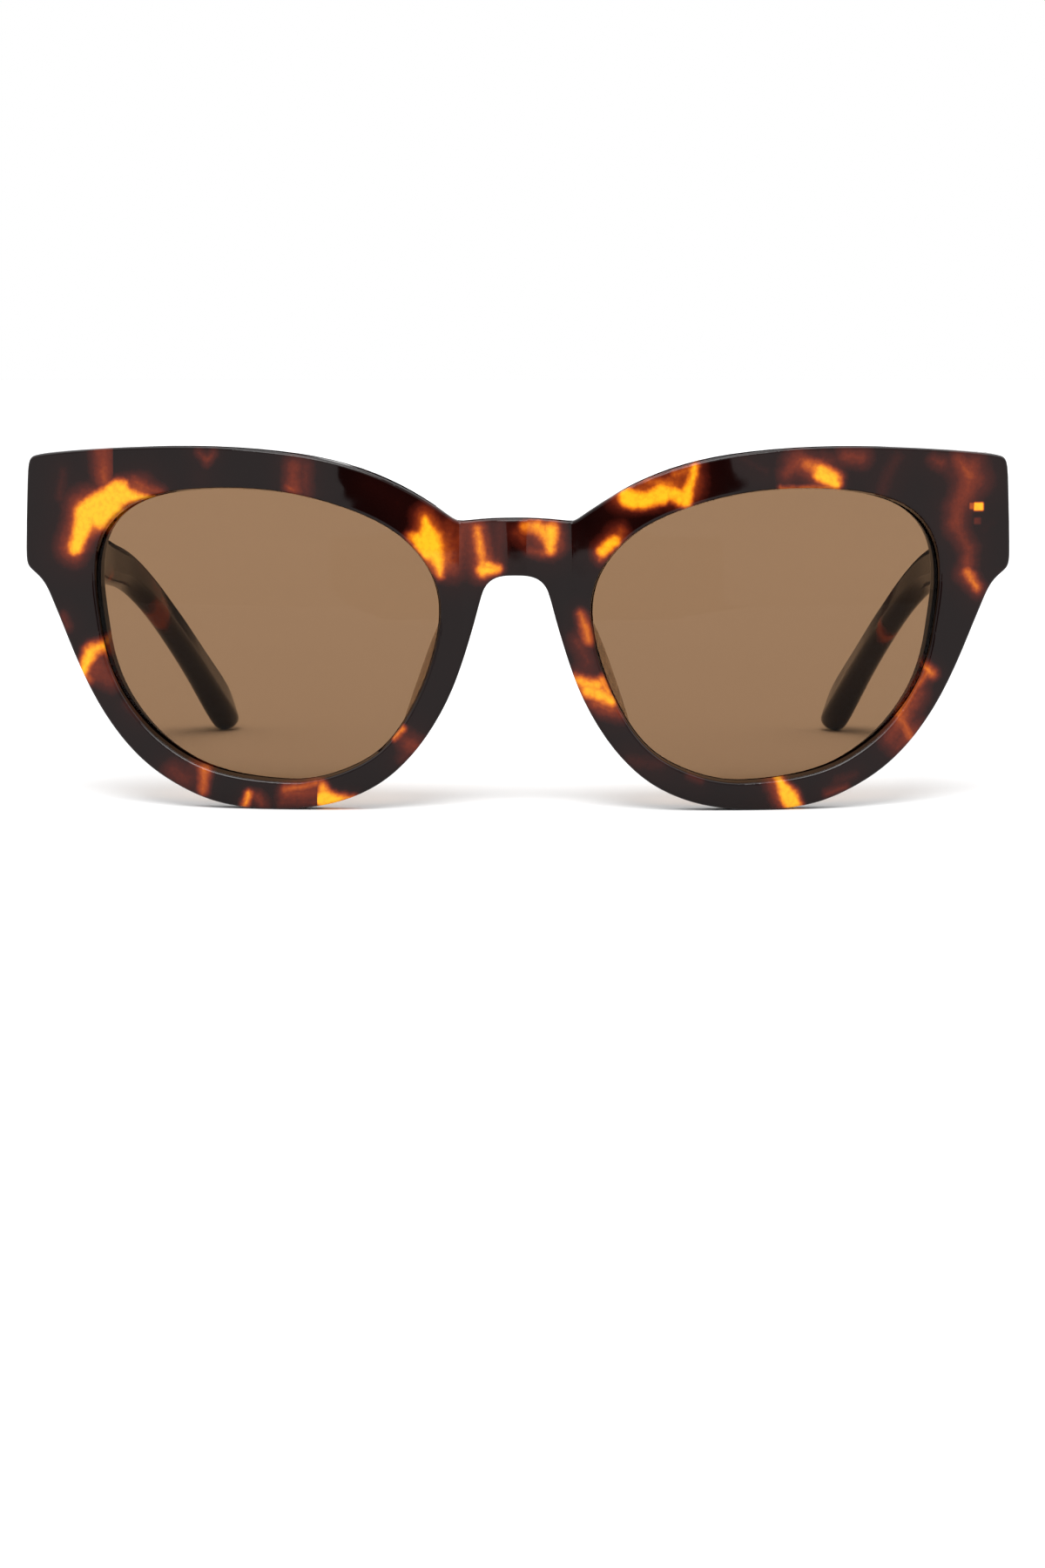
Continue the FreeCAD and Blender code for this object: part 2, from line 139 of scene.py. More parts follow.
# ------------------------------------------------- tortoiseshell, one stroke
def stroke_group():
    """Soft tapered stroke from A to B; gives Peak inside it and 0 outside."""
    g = bpy.data.node_groups.new("tortoise_stroke", "ShaderNodeTree")
    for name, kind in (("P", "NodeSocketVector"), ("A", "NodeSocketVector"), ("B", "NodeSocketVector"),
                       ("Ra", "NodeSocketFloat"), ("Rb", "NodeSocketFloat"), ("Soft", "NodeSocketFloat"),
                       ("Peak", "NodeSocketFloat"), ("Field", "NodeSocketFloat")):
        g.interface.new_socket(name, in_out="INPUT", socket_type=kind)
    g.interface.new_socket("Field", in_out="OUTPUT", socket_type="NodeSocketFloat")
    g.interface.new_socket("P", in_out="OUTPUT", socket_type="NodeSocketVector")
    tr = Tree(g)
    gi = tr.new("NodeGroupInput").outputs
    go = tr.new("NodeGroupOutput").inputs
    pa = tr.vec("SUBTRACT", gi["P"], gi["A"])
    ba = tr.vec("SUBTRACT", gi["B"], gi["A"])
    h = tr.math("DIVIDE", tr.vec("DOT_PRODUCT", pa, ba),
                tr.math("MAXIMUM", tr.vec("DOT_PRODUCT", ba, ba), 1e-4), clamp=True)
    d = tr.vec("LENGTH", tr.vec("SUBTRACT", pa, tr.vec("SCALE", ba, scale=h)))
    r = tr.math("ADD", gi["Ra"], tr.math("MULTIPLY", tr.math("SUBTRACT", gi["Rb"], gi["Ra"]), h))
    e = tr.math("DIVIDE", tr.math("SUBTRACT", r, d), gi["Soft"])
    # a bright core inside a wider, dimmer skirt
    core = tr.math("MULTIPLY", tr.span(e, -1.0, 1.2), 0.66)
    skirt = tr.math("MULTIPLY", tr.span(e, -2.5, 0.8), 0.34)
    m = tr.math("MULTIPLY", tr.math("ADD", core, skirt), gi["Peak"])
    # neighbouring strokes run into each other a little
    top = tr.math("MAXIMUM", gi["Field"], m)
    field = tr.math("ADD", top, tr.math("MULTIPLY", tr.math("MULTIPLY", tr.math("MINIMUM", gi["Field"], m), 0.32),
                                        tr.math("SUBTRACT", 1.0, top)))
    tr.l.new(field, go["Field"])
    # P is handed on through each stroke, so that they are worked out one by one
    tr.l.new(tr.vec("ADD", gi["P"], tr.math("MULTIPLY", field, 1e-7)), go["P"])
    return g


STROKE = stroke_group()


def strokes(tr, p, table, field=0.0):
    """Union of strokes: (x0, z0, x1, z1, r0, r1, peak, softness) in mm."""
    for x0, z0, x1, z1, r0, r1, peak, soft in table:
        n = tr.new("ShaderNodeGroup")
        n.node_tree = STROKE
        tr.put(n.inputs["P"], p)
        n.inputs["A"].default_value = (x0, 0.0, z0)
        n.inputs["B"].default_value = (x1, 0.0, z1)
        n.inputs["Ra"].default_value = r0
        n.inputs["Rb"].default_value = r1
        n.inputs["Soft"].default_value = soft
        n.inputs["Peak"].default_value = peak
        tr.put(n.inputs["Field"], field)
        field, p = n.outputs["Field"], n.outputs["P"]
    return field


# amber field 0..1 -> colour of the acetate
AMBER = [
    (0.00, (0.0042, 0.0010, 0.0009)),
    (0.18, (0.0085, 0.0014, 0.0011)),
    (0.34, (0.042, 0.0052, 0.0030)),
    (0.48, (0.120, 0.0150, 0.0048)),
    (0.62, (0.270, 0.0440, 0.0060)),
    (0.76, (0.520, 0.1200, 0.0075)),
    (0.88, (0.700, 0.2450, 0.0085)),
    (1.00, (0.780, 0.3850, 0.0120)),
]

FRONT_Y = -68.55         # foremost line of the rims, mm

# marks of the front: x0, z0, x1, z1, radius 0, radius 1, peak, softness (mm)
MARKS = [
    (-64.8, 37.8, -63.3, 41.8, 1.22, 1.52, 1, 0.85),
    (-63.3, 42.7, -61.5, 44.3, 1.66, 1.52, 1, 0.85),
    (-61.5, 44, -58.1, 45.9, 1.77, 1.74, 1, 0.85),
    (-57.5, 46.1, -57, 47.1, 1.11, 0.43, 0.95, 0.72),
    (-57.6, 45.4, -53.1, 45.2, 1.34, 0.43, 0.97, 0.72),
    (-65.3, 37.6, -62.7, 43.2, 2.68, 3.13, 0.47, 2.1),
    (-62.7, 43.7, -54.6, 46.2, 3.15, 2.19, 0.47, 2.1),
    (-55.6, 47.5, -52, 46, 0.93, 0.91, 0.52, 1.5),
    (-66.7, 49, -67.1, 45.1, 0.81, 0.91, 0.3, 1.8),
    (-46.1, 51.9, -44.9, 50.7, 0.68, 0.66, 0.4, 1.05),
    (-44.9, 50.7, -43.8, 51.7, 0.68, 0.66, 0.4, 1.05),
    (-45.6, 48.3, -45.4, 47.6, 1.27, 1.25, 0.19, 1.95),
    (-32.2, 49.9, -32, 46.5, 1.62, 1.49, 0.4, 1.5),
    (-30.4, 49.7, -30, 46, 1.39, 1.14, 0.34, 1.65),
    (-32.8, 46.8, -32.2, 46.6, 0.74, 0.66, 0.55, 1.2),
    (-13, 42.3, -12.4, 39.3, 0.68, 1.74, 1, 0.85),
    (-12.4, 39.3, -11.4, 36.8, 1.77, 1.08, 1, 0.85),
    (-11.4, 36.8, -11, 34.3, 1.06, 0.53, 0.95, 0.72),
    (-14.2, 39.5, -12.4, 37.5, 1.01, 1.19, 0.97, 0.72),
    (-13, 42.4, -11.7, 36.9, 1.98, 2.77, 0.55, 1.8),
    (-9.7, 41.2, -9.5, 35.4, 1.51, 1.83, 0.4, 2.25),
    (-15, 39.8, -13.4, 38.1, 0.89, 0.86, 0.8, 0.85),
    (-5.5, 40.9, -5.2, 37.9, 0.73, 0.76, 0.76, 0.85),
    (-5.2, 37.9, -4.5, 35.3, 0.79, 0.76, 0.72, 0.85),
    (-4.6, 34.9, -2.4, 35.2, 1.01, 0.53, 0.97, 0.85),
    (-5.4, 40.8, -4.7, 35, 1.74, 1.83, 0.46, 1.8),
    (-7.2, 41.7, -9.8, 36.2, 1.74, 1.72, 0.4, 2.1),
    (-2.2, 41.3, -2.4, 36.5, 1.27, 1.25, 0.34, 1.95),
    (-7.6, 38.3, -6.9, 35.5, 1.39, 1.14, 0.34, 1.95),
    (-60, 23.7, -62.4, 22.8, 0.84, 1.03, 0.9, 0.85),
    (-62.7, 22.2, -64, 19.3, 1.01, 0.81, 1, 0.85),
    (-60.4, 23.5, -59.6, 22.3, 0.68, 0.65, 0.7, 0.85),
    (-61.4, 20.3, -59.7, 18.6, 2.33, 1.96, 0.42, 1.8),
    (-63.5, 19.3, -62.7, 18.5, 1.01, 0.86, 0.6, 0.98),
    (-66.6, 27.6, -66, 26.1, 0.74, 0.79, 0.44, 1.35),
    (-57.2, 14.8, -55.3, 13, 1.04, 1.02, 0.28, 1.95),
    (-50.3, 5.3, -48.5, 4, 1.85, 1.83, 0.38, 1.8),
    (-45.5, 5.6, -45.6, 2.5, 1.17, 0.92, 0.62, 0.85),
    (-46.9, 6.4, -45.9, 5.8, 0.81, 0.91, 0.47, 1.35),
    (-38.9, 2.3, -39.6, 0.4, 0.56, 0.49, 0.88, 0.72),
    (-37.7, 1.7, -37.1, 0.8, 1.04, 0.91, 0.47, 1.35),
    (-33.5, 2.9, -29.1, 3.9, 0.68, 0.65, 0.64, 0.85),
    (-33.2, 2.3, -29.1, 2.6, 1.51, 1.49, 0.42, 1.5),
    (-34, 1, -28.7, 1.2, 1.04, 1.02, 0.36, 1.5),
    (-17.6, 10.8, -16.3, 12, 0.56, 0.53, 0.8, 0.72),
    (-15.2, 9.8, -14.1, 9.3, 1.85, 1.6, 0.44, 1.8),
    (-15.6, 8.1, -16.6, 7.4, 1.04, 0.91, 0.34, 1.8),
    (-20.8, 47.4, -17, 44.6, 1.39, 1.72, 0.19, 2.25),
    (-60.9, 42.2, -58.9, 44, 1.77, 1.74, 1, 0.98),
    (-63.3, 40.8, -60.7, 41.8, 1.22, 1.41, 0.8, 1.37),
    (-13, 39.8, -11.9, 38.7, 1.11, 1.08, 1, 0.85),
    (0.1, 40.4, 1.2, 39.6, 1.04, 1.02, 0.4, 1.65),
    (1.4, 41.3, 3.2, 41.3, 0.95, 0.98, 0.74, 0.85),
    (3.2, 41.2, 4.9, 39.8, 0.89, 1.08, 0.82, 0.85),
    (5.1, 40.7, 5.1, 37.8, 1.11, 0.65, 0.96, 0.85),
    (2.3, 37.9, 4, 37.6, 0.81, 0.85, 0.49, 1.35),
    (3.2, 41.3, 5.1, 38.9, 2.21, 2.19, 0.47, 1.8),
    (-3.9, 35.8, -2.5, 35.2, 0.79, 0.53, 0.9, 0.72),
    (5.9, 41.3, 6.7, 38.4, 0.93, 0.79, 0.47, 1.65),
    (14.3, 39.1, 12.6, 37.6, 0.95, 0.92, 0.96, 0.72),
    (15.3, 40.7, 14.6, 39.3, 0.93, 1.02, 0.52, 1.35),
    (14.7, 39.6, 12.6, 37.4, 1.85, 1.72, 0.47, 1.65),
    (12.6, 37.1, 12.3, 36.4, 0.46, 0.43, 0.7, 0.72),
    (16.1, 45.5, 16.9, 45.3, 1.55, 1.52, 1, 0.72),
    (18.2, 44.8, 21, 45.9, 1.01, 1.58, 1, 0.79),
    (21.9, 46.2, 23.7, 45, 1.01, 0.81, 0.92, 0.85),
    (25.8, 49.8, 24.6, 44.8, 0.56, 0.92, 0.97, 0.72),
    (18.6, 48, 22.2, 47.4, 0.89, 0.98, 0.6, 1.11),
    (22.9, 48.8, 25.8, 49.7, 0.79, 0.65, 0.62, 0.98),
    (15.2, 45.8, 24.8, 47.2, 2.56, 2.9, 0.47, 1.95),
    (25.4, 49.4, 26.7, 49.9, 0.93, 0.91, 0.4, 1.65),
    (39.2, 48.8, 41, 50.8, 1.16, 1.25, 0.42, 1.65),
    (42.1, 50.1, 44.1, 49.4, 1.11, 1.08, 0.62, 1.11),
    (44.1, 49.5, 46.3, 48.3, 0.79, 0.86, 0.9, 0.85),
    (44, 48.3, 46.3, 47.3, 0.84, 0.86, 1, 0.72),
    (38.3, 46.9, 46.6, 46.6, 0.35, 0.32, 0.72, 0.53),
    (40.7, 50.3, 44.6, 48.4, 2.21, 2.19, 0.4, 1.95),
    (44.4, 51.2, 45.6, 50.6, 1.04, 1.02, 0.34, 1.8),
    (47.8, 51.5, 50.1, 51.1, 1.39, 1.49, 0.46, 1.65),
    (53, 45.9, 55.3, 51.1, 1.62, 1.6, 0.27, 2.25),
    (60.6, 50.8, 61.8, 50.1, 0.81, 0.91, 0.44, 1.65),
    (64.5, 50.6, 66.3, 48.4, 1.04, 1.25, 0.44, 1.5),
    (67, 50.1, 65.5, 45.7, 1.74, 1.83, 0.36, 2.1),
    (65.4, 45.7, 64.1, 41.3, 1.74, 1.6, 0.36, 1.95),
    (64.2, 41.3, 66.3, 37.9, 1.39, 1.37, 0.35, 1.95),
    (66.3, 37.9, 66.1, 35.7, 1.16, 1.02, 0.38, 1.8),
    (66, 34.1, 67.4, 32, 0.79, 0.86, 0.68, 0.85),
    (66.1, 35.7, 66.3, 34, 0.63, 0.66, 0.43, 1.35),
    (65.5, 34, 67.6, 31.6, 1.62, 1.49, 0.4, 1.65),
    (59.2, 20.9, 60.9, 19.4, 0.68, 0.81, 0.72, 0.98),
    (60.3, 20, 55.8, 13.7, 0.73, 0.76, 0.62, 0.98),
    (59, 16.6, 54.5, 10.4, 1.62, 1.6, 0.44, 1.95),
    (58.8, 11.7, 55.9, 8.8, 1.74, 1.72, 0.38, 2.1),
    (56.3, 12.8, 57.8, 10.3, 0.89, 0.92, 0.62, 1.11),
    (54.2, 14.8, 55.5, 14.3, 0.56, 0.53, 0.75, 0.72),
    (9.5, 28.6, 10.7, 24.7, 0.79, 0.86, 0.68, 0.98),
    (10, 27, 10.3, 25.6, 0.89, 0.86, 0.62, 0.85),
    (8.8, 24.7, 10.4, 21.8, 1.51, 1.49, 0.38, 1.95),
    (8.6, 19.1, 11.9, 18.3, 0.84, 0.98, 0.88, 0.85),
    (10.5, 17.6, 14.1, 16, 1.11, 0.86, 0.92, 0.85),
    (12.6, 19.1, 13.4, 17.1, 0.79, 0.76, 0.78, 0.85),
    (11.5, 15.6, 15.4, 14.1, 1.16, 1.02, 0.49, 1.65),
    (9, 18.5, 13.4, 16.1, 2.33, 2.19, 0.44, 1.8),
    (16.8, 7.4, 21.1, 6.8, 1.62, 1.6, 0.27, 2.25),
    (25.2, 5.2, 26.8, 4.6, 0.63, 0.61, 0.38, 1.2),
    (38.4, 4.3, 39.9, 2, 0.73, 1.31, 1, 0.72),
    (39.9, 2, 40.7, 0.3, 1.34, 1.31, 1, 0.72),
    (37.1, 4.2, 39, 1, 1.39, 1.6, 0.47, 1.65),
    (45.3, 2.3, 48, 3, 0.51, 0.55, 0.47, 1.2),
    (65.1, 49.4, 67.4, 47.7, 2.44, 2.42, 0.38, 2.55),
    (63.7, 43.8, 64, 40.4, 1.51, 1.49, 0.36, 2.25),
    (44.1, 48.8, 46, 47.9, 1.01, 0.98, 1, 0.85),
    (17.1, 45.3, 19.1, 45.4, 1.22, 1.19, 0.97, 0.72),
    (22.9, 46, 24.3, 45.3, 1.11, 1.08, 0.97, 0.72),
    (32.8, 50.8, 35.9, 49.3, 1.39, 1.37, 0.23, 2.25),
    (46.9, 4.2, 49.4, 5.1, 1.16, 1.14, 0.28, 1.95),
]
# marks that end at a sharp upright line: one mark left of its line, one right of it
LEFT_OF, LEFT_MARKS = -58.85, [
    (-60.4, 51.9, -60.3, 48.1, 1.98, 1.6, 0.47, 1.65),
    (-60.4, 48.1, -59.3, 45.7, 1.39, 1.6, 0.51, 1.8),
]
RIGHT_OF, RIGHT_MARKS = -28.90, [
    (-27.9, 1.6, -25.9, 1.5, 1.44, 0.86, 1, 0.72),
    (-28.1, 3.2, -27.9, 1.5, 0.89, 1.19, 0.8, 0.72),
    (-26.1, 1.5, -23.5, 2.1, 0.84, 0.32, 0.9, 0.72),
    (-28.4, 3.9, -28.1, 2.9, 0.56, 0.76, 0.6, 0.72),
]


def acetate_finish(tr, p, field, name):
    """Polished acetate over the amber field."""
    grain = tr.noise(p, 1.6, 4.0, 0.6)
    field = tr.math("MULTIPLY", field, tr.span(grain, 0.3, 0.7, 0.93, 1.05, smooth=False), clamp=True)
    colour = tr.ramp(field, AMBER, "LINEAR")
    # fine dust and rub marks only change the polish
    polish = tr.noise(p, 0.35, 5.0, 0.55)
    satin = 0.13 if name == "temple" else 0.0
    rough = tr.span(polish, 0.35, 0.75, 0.02 + satin, 0.05 + satin, smooth=False)
    # the tumbled roundings that face up and outward shine more than the flats
    n = tr.new("ShaderNodeSeparateXYZ")
    tr.put(n.inputs[0], tr.new("ShaderNodeTexCoord").outputs["Normal"])
    ny = tr.math("ABSOLUTE", n.outputs["Y"])
    band = tr.math("MULTIPLY", tr.span(ny, 0.20, 0.40), tr.span(ny, 0.88, 0.74))
    band = tr.math("MULTIPLY", band, tr.span(n.outputs["Z"], 0.15, 0.40))
    shine = tr.math("ADD", tr.math("MULTIPLY", band, 0.75 if name == "front" else 0.0), 0.205)
    ripple = tr.new("ShaderNodeBump")
    tr.put(ripple.inputs["Height"], tr.noise(p, 0.12, 2.0, 0.5))
    ripple.inputs["Strength"].default_value = 0.02
    ripple.inputs["Distance"].default_value = 0.001
    b = principled(tr, **{"Base Color": colour, "Roughness": rough, "IOR": 1.48, "Specular IOR Level": shine,
                          "Normal": ripple.outputs["Normal"]})
    finish_material(tr, b.outputs["BSDF"])


def feathered(tr, p, low, high):
    """Coordinates pushed about by noise, for feathered edges of the marks."""
    a = tr.vec("SUBTRACT", tr.noise(p, 0.22, 2.0, 0.5, out="Color"), (0.5, 0.5, 0.5))
    b = tr.vec("SUBTRACT", tr.noise(p, 1.1, 3.0, 0.6, out="Color"), (0.5, 0.5, 0.5))
    q = tr.vec("ADD", p, tr.vec("SCALE", a, scale=low))
    return tr.vec("ADD", q, tr.vec("SCALE", b, scale=high))


def cloud(tr, p, stretch, scale, lo, hi, peak, detail=3.0, offset=(0.0, 0.0, 0.0)):
    q = tr.vec("ADD", tr.vec("MULTIPLY", p, stretch), offset)
    return tr.math("MULTIPLY", tr.span(tr.noise(q, scale, detail, 0.52, 0.35), lo, hi), peak)


def box_mask(tr, flat, x0, x1, z0, z1, soft):
    """1 inside a small rectangle in the x-z plane."""
    d = tr.vec("ABSOLUTE", tr.vec("SUBTRACT", flat, ((x0 + x1) / 2, 0.0, (z0 + z1) / 2)))
    s = tr.new("ShaderNodeSeparateXYZ")
    tr.put(s.inputs[0], d)
    return tr.math("MULTIPLY", tr.span(s.outputs["X"], (x1 - x0) / 2 + soft, (x1 - x0) / 2 - soft),
                   tr.span(s.outputs["Z"], (z1 - z0) / 2 + soft, (z1 - z0) / 2 - soft))


def front_acetate():
    m, tr = new_material("tortoise_front")
    p = millimetres(tr)
    flat = tr.vec("MULTIPLY", p, (1.0, 0.0, 1.0))
    # depth below the bent front face; the marks wander as they go deeper
    s = tr.new("ShaderNodeSeparateXYZ")
    tr.put(s.inputs[0], p)
    dx = tr.math("SUBTRACT", tr.math("ABSOLUTE", s.outputs["X"]), 16.2)
    bend = tr.math("SUBTRACT", 132.0, tr.math("SQRT", tr.math("SUBTRACT", 132.0 ** 2, tr.math("MULTIPLY", dx, dx))))
    depth = tr.math("SUBTRACT", tr.math("SUBTRACT", s.outputs["Y"], FRONT_Y), bend)
    wander = tr.math("MULTIPLY", tr.span(depth, 1.0, 9.0, 0.0, 1.0, smooth=False), 16.0)
    drift = tr.vec("SUBTRACT", tr.noise(p, 0.09, 1.0, 0.5, out="Color"), (0.5, 0.5, 0.5))
    q = tr.vec("ADD", feathered(tr, flat, 1.0, 0.55), tr.vec("SCALE", drift, scale=wander))
    q = tr.vec("MULTIPLY", q, (1.0, 0.0, 1.0))
    field = strokes(tr, q, MARKS)
    f = tr.new("ShaderNodeSeparateXYZ")
    tr.put(f.inputs[0], flat)
    for edge, way, table in ((LEFT_OF, -1, LEFT_MARKS), (RIGHT_OF, 1, RIGHT_MARKS)):
        keep = tr.span(f.outputs["X"], edge - way * 0.08, edge + way * 0.08)
        field = tr.math("MAXIMUM", field, tr.math("MULTIPLY", strokes(tr, q, table), keep))
    # the hinge anchor shows through the acetate as a small amber window
    for x0, x1, z0, z1, peak in ((66.1, 67.2, 43.3, 44.5, 0.62), (66.8, 68.45, 43.1, 44.5, 0.98), (66.8, 68.1, 41.1, 42.3, 0.38)):
        field = tr.math("MAXIMUM", field, tr.math("MULTIPLY", box_mask(tr, flat, x0, x1, z0, z1, 0.30), peak))
    # the marks dim towards the middle of the sheet, so the sides and back vary
    field = tr.math("MAXIMUM", field, cloud(tr, p, (1.0, 0.6, 1.0), 0.10, 0.60, 0.78, 0.30))
    acetate_finish(tr, p, field, "front")
    return m


def temple_acetate(side):
    m, tr = new_material("tortoise_temple_" + ("left" if side > 0 else "right"))
    p = millimetres(tr)
    off = (11.0, 3.0, 5.0) if side > 0 else (47.0, 29.0, 71.0)
    q = feathered(tr, p, 2.0, 0.9)
    big = cloud(tr, q, (0.8, 0.62, 1.0), 0.115, 0.55, 0.70, 0.9, 2.0, off)
    red = cloud(tr, q, (0.8, 0.62, 1.0), 0.115, 0.46, 0.61, 0.42, 2.0, off)
    extra = cloud(tr, q, (1.0, 0.8, 1.0), 0.19, 0.58, 0.75, 0.55, 3.0, (off[1], off[2], off[0]))
    field = tr.math("MAXIMUM", tr.math("MAXIMUM", big, red), extra)
    # the drop behind the ear is nearly plain dark but for one mark
    s = tr.new("ShaderNodeSeparateXYZ")
    tr.put(s.inputs[0], q)
    quiet = tr.span(s.outputs["Y"], 4.0, 16.0, 1.0, 0.12)
    field = tr.math("MULTIPLY", field, quiet)
    y0, width, peak = (37.2, 0.7, 0.62) if side > 0 else (33.4, 3.2, 0.56)
    w = tr.new("ShaderNodeSeparateXYZ")
    tr.put(w.inputs[0], feathered(tr, p, 1.5 if side > 0 else 7.0, 1.2))
    along = tr.math("ADD", w.outputs["Y"], tr.math("MULTIPLY", w.outputs["Z"], 0.35))
    mark = tr.span(tr.math("ABSOLUTE", tr.math("SUBTRACT", along, y0 + 8.0)), width + (1.6 if side > 0 else 3.6), 0.0)
    patchy = tr.span(tr.noise(p, 0.22, 2.0), 0.34, 0.60, 0.45, 1.0)
    field = tr.math("MAXIMUM", field, tr.math("MULTIPLY", tr.math("MULTIPLY", mark, patchy), peak))
    acetate_finish(tr, p, field, "temple")
    return m


def lens_material():
    m, tr = new_material("brown_lens")
    p = millimetres(tr)
    z = tr.new("ShaderNodeSeparateXYZ")
    tr.put(z.inputs[0], p)
    # the tint is a touch lighter towards the top
    tint = tr.mix(tr.span(z.outputs["Z"], 5.0, 47.0), (0.474, 0.362, 0.266, 1), (0.494, 0.380, 0.282, 1))
    tint = tr.mix(tr.math("MULTIPLY", tr.noise(p, 0.08, 1.0), 0.10), tint, (0.458, 0.355, 0.264, 1))
    clear = tr.new("ShaderNodeBsdfTransparent")
    tr.put(clear.inputs["Color"], tint)
    gloss = tr.new("ShaderNodeBsdfAnisotropic")
    tr.put(gloss.inputs["Roughness"], tr.span(tr.noise(p, 0.3, 4.0), 0.3, 0.7, 0.01, 0.03, smooth=False))
    fres = tr.new("ShaderNodeFresnel")
    fres.inputs["IOR"].default_value = 1.5
    front = tr.math("SUBTRACT", 1.0, tr.new("ShaderNodeNewGeometry").outputs["Backfacing"])
    # anti-reflection coated: little reflection square on, more at a slant
    coat = tr.math("MAXIMUM", tr.math("SUBTRACT", fres.outputs[0], 0.034), 0.0)
    fac = tr.math("MULTIPLY", coat, front)
    mixer = tr.new("ShaderNodeMixShader")
    tr.put(mixer.inputs[0], fac)
    tr.l.new(clear.outputs[0], mixer.inputs[1])
    tr.l.new(gloss.outputs[0], mixer.inputs[2])
    finish_material(tr, mixer.outputs[0])
    return m


def pad_material():
    m, tr = new_material("clear_pad")
    p = millimetres(tr)
    tone = tr.mix(tr.noise(p, 0.5, 3.0), (0.50, 0.41, 0.32, 1), (0.62, 0.52, 0.42, 1))
    b = principled(tr, **{"Base Color": tone, "Roughness": tr.span(tr.noise(p, 0.9, 3.0), 0.3, 0.7, 0.12, 0.2),
                          "IOR": 1.48, "Transmission Weight": 0.55, "Specular IOR Level": 0.4})
    clear = tr.new("ShaderNodeBsdfTransparent")
    tr.put(clear.inputs["Color"], tr.mix(tr.noise(p, 0.5, 2.0), (0.84, 0.77, 0.69, 1), (0.90, 0.85, 0.78, 1)))
    mixer = tr.new("ShaderNodeMixShader")
    mixer.inputs[0].default_value = 0.30
    tr.l.new(clear.outputs[0], mixer.inputs[1])
    tr.l.new(b.outputs[0], mixer.inputs[2])
    finish_material(tr, mixer.outputs[0])
    return m


def metal_material(name, a, b, lo, hi, stretch):
    m, tr = new_material(name)
    p = millimetres(tr)
    lines = tr.noise(tr.vec("MULTIPLY", p, stretch), 1.0, 4.0, 0.6)
    wear = tr.noise(p, 0.8, 4.0, 0.6)
    colour = tr.mix(wear, a, b)
    bump = tr.new("ShaderNodeBump")
    tr.put(bump.inputs["Height"], lines)
    bump.inputs["Strength"].default_value = 0.10
    bump.inputs["Distance"].default_value = 0.0001
    s = principled(tr, **{"Base Color": colour, "Metallic": 1.0, "Roughness": tr.span(lines, 0.3, 0.7, lo, hi, smooth=False),
                          "Normal": bump.outputs["Normal"]})
    finish_material(tr, s.outputs[0])
    return m


def dress(node, material):
    o = nodes[node]
    for s in o.material_slots:
        s.material = material


front_mat = front_acetate()
lens_mat = lens_material()
pad_mat = pad_material()
gold = metal_material("hinge_gold", (0.80, 0.62, 0.33, 1), (0.72, 0.53, 0.26, 1), 0.16, 0.32, (0.6, 0.6, 7.0))
steel = metal_material("screw_steel", (0.66, 0.65, 0.63, 1), (0.55, 0.54, 0.53, 1), 0.2, 0.38, (5.0, 5.0, 0.6))
wire = metal_material("core_wire", (0.62, 0.60, 0.57, 1), (0.50, 0.49, 0.47, 1), 0.22, 0.4, (6.0, 0.4, 6.0))
dress("frame_front", front_mat)
for side, sign in (("left", 1), ("right", -1)):
    dress("lens_" + side, lens_mat)
    dress("nose_pad_" + side, pad_mat)
    dress("temple_" + side, temple_acetate(sign))
    dress("core_wire_" + side, wire)
    dress("hinge_front_" + side, gold)
    dress("hinge_temple_" + side, gold)
    dress("hinge_screw_" + side, steel)

# -------------------------------------------------------------------- stage
lo, hi = Vector(cad_box[0]), Vector(cad_box[1])


def rect(name, corners):
    me = bpy.data.meshes.new(name)
    me.from_pydata(corners, [], [tuple(range(len(corners)))])
    o = bpy.data.objects.new(name, me)
    scene.collection.objects.link(o)
    return o


# the pale table: its front edge has a gap, behind which the studio is dark
y1 = FRONT_Y / 1000.0 - 0.76
floor = rect("floor", [(-6, -3, lo.z), (-0.115, -3, lo.z), (-0.115, y1, lo.z), (0.135, y1, lo.z), (0.135, -3, lo.z),
                       (6, -3, lo.z), (6, 6, lo.z), (-6, 6, lo.z)])
m, tr = new_material("pale_floor")
co = tr.new("ShaderNodeTexCoord").outputs["Object"]
tone = tr.mix(tr.noise(co, 9.0, 3.0), (0.90, 0.90, 0.90, 1), (0.93, 0.93, 0.93, 1))
b = principled(tr, **{"Base Color": tone, "Roughness": 0.75, "Specular IOR Level": 0.15})
finish_material(tr, b.outputs[0])
floor.data.materials.append(m)

# the dark opening itself, seen only in reflections
dark = rect("dark_opening", [(x / 1000.0, y1 - 0.001, z / 1000.0) for x, z in (
    (-162, 18), (-180, 26), (-215, 60), (-215, 150), (225, 150), (225, 40), (235, 26), (250, 24), (272, 22),
    (150, 6), (130, -40), (-110, -40), (-125, 6))])
m, tr = new_material("dark_opening")
b = principled(tr, **{"Base Color": (0.001, 0.001, 0.001, 1), "Roughness": 1.0, "Specular IOR Level": 0.0})
finish_material(tr, b.outputs[0])
dark.data.materials.append(m)
# unlit wall far behind, also only in reflections: it draws the dark outer line along the edges
wall = rect("dark_wall", [(-0.34, 1.3, 0.06), (0.3, 1.3, 0.06), (0.3, 1.3, 0.17), (-0.34, 1.3, 0.17)])
wall.data.materials.append(m)
for o in (dark, wall):
    o.visible_camera = False
    o.visible_diffuse = False
    o.visible_shadow = False
    o.visible_transmission = False

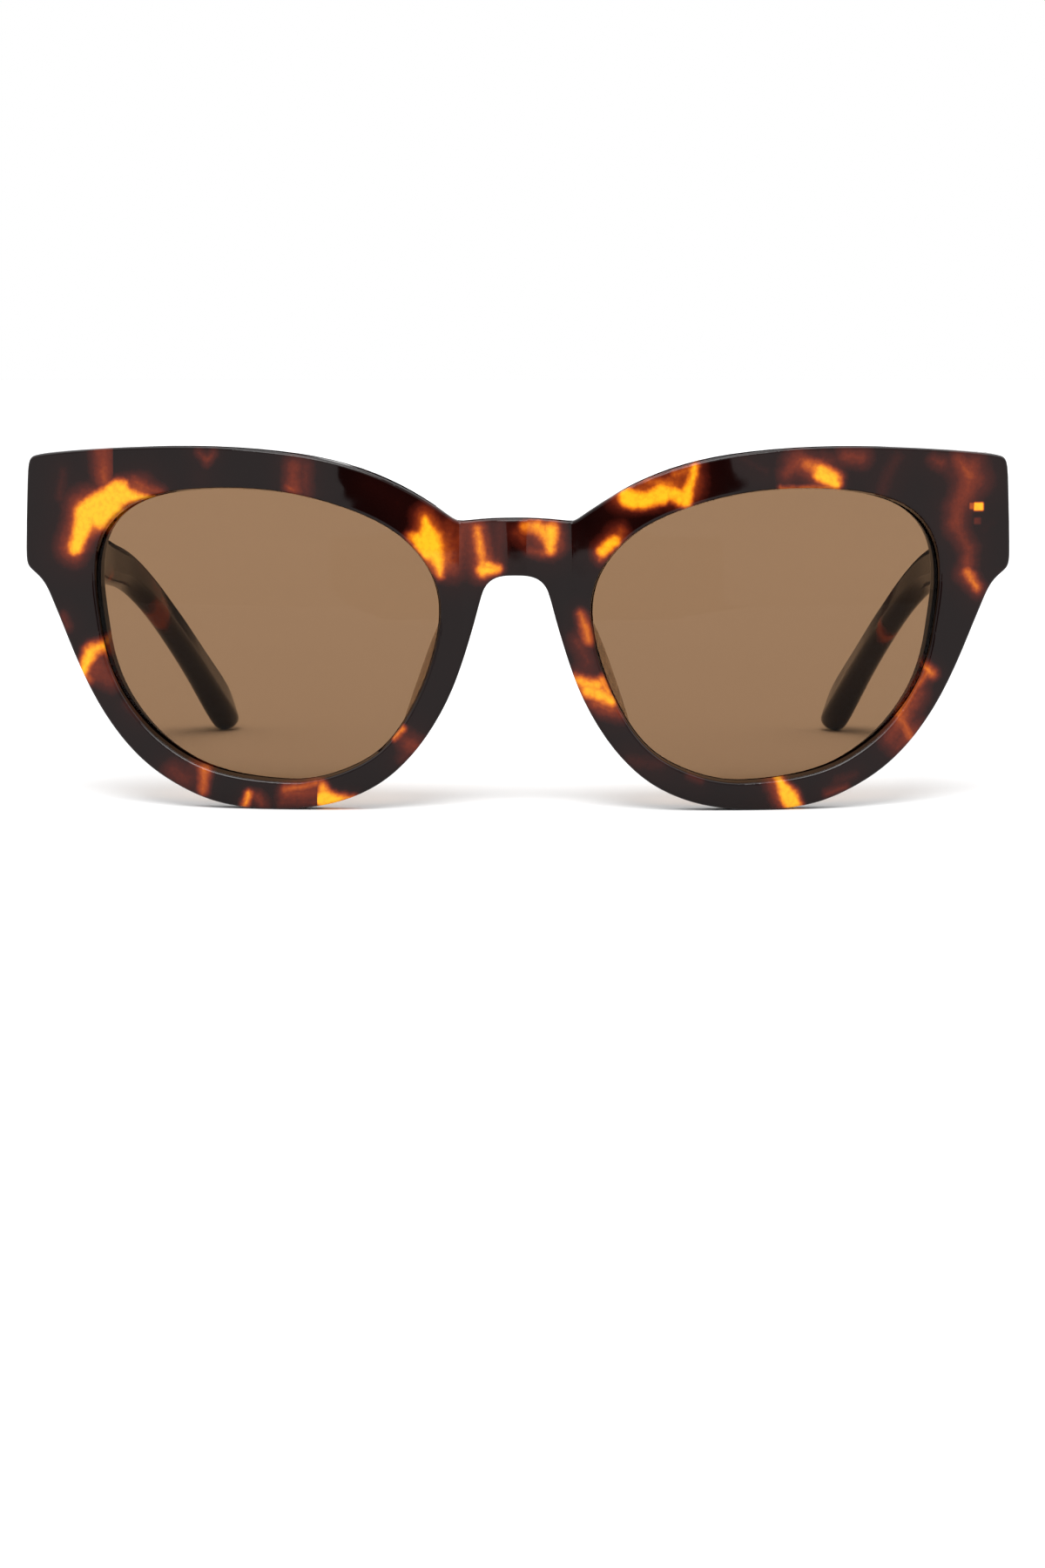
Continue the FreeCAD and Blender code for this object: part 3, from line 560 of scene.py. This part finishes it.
world = bpy.data.worlds.new("studio")
scene.world = world
world.use_nodes = True
wt = Tree(world.node_tree)
wt.n.clear()
bg = wt.new("ShaderNodeBackground")
bg.inputs["Color"].default_value = (1.0, 1.0, 1.0, 1.0)
bg.inputs["Strength"].default_value = 1.0
wo = wt.new("ShaderNodeOutputWorld")
wt.l.new(bg.outputs[0], wo.inputs["Surface"])


def area(name, loc, target, size, power, size_y=None):
    d = bpy.data.lights.new(name, "AREA")
    d.shape = "RECTANGLE"
    d.size = size
    d.size_y = size_y or size
    d.energy = power
    o = bpy.data.objects.new(name, d)
    scene.collection.objects.link(o)
    o.location = loc
    o.rotation_mode = "QUATERNION"
    o.rotation_quaternion = (Vector(target) - Vector(loc)).to_track_quat("-Z", "Y")
    o.visible_camera = False
    return o


sun = bpy.data.lights.new("overhead", "SUN")
sun.energy = 2.2
sun.angle = math.radians(34)
so = bpy.data.objects.new("overhead", sun)
scene.collection.objects.link(so)
so.rotation_euler = (math.radians(38), 0, math.radians(-5))

# ------------------------------------------------------------------- camera
front_y0 = FRONT_Y / 1000.0
turn = math.radians(1.04)
cam_at = Vector((0.650 * math.sin(turn), -0.650 * math.cos(turn) + front_y0, 0.0688))
pitch = math.radians(5.70)
azim = math.atan2(8.056, 5166.0) - turn
ahead = Vector((math.sin(azim) * math.cos(pitch), math.cos(azim) * math.cos(pitch), -math.sin(pitch)))
right = Vector((math.cos(azim), -math.sin(azim), 0.0))
up = right.cross(ahead)
cd = bpy.data.cameras.new("camera")
cd.sensor_width = 36.0
cd.lens = 5166.0 / 1800.0 * 36.0
cd.clip_start, cd.clip_end = 0.01, 50.0
cam = bpy.data.objects.new("camera", cd)
scene.collection.objects.link(cam)
cam.rotation_mode = "QUATERNION"
cam.matrix_world = Matrix((
    (right.x, up.x, -ahead.x, cam_at.x),
    (right.y, up.y, -ahead.y, cam_at.y),
    (right.z, up.z, -ahead.z, cam_at.z),
    (0, 0, 0, 1)))
scene.camera = cam
scene.view_settings.view_transform = "Standard"
scene.view_settings.look = "None"

bpy.context.view_layer.update()
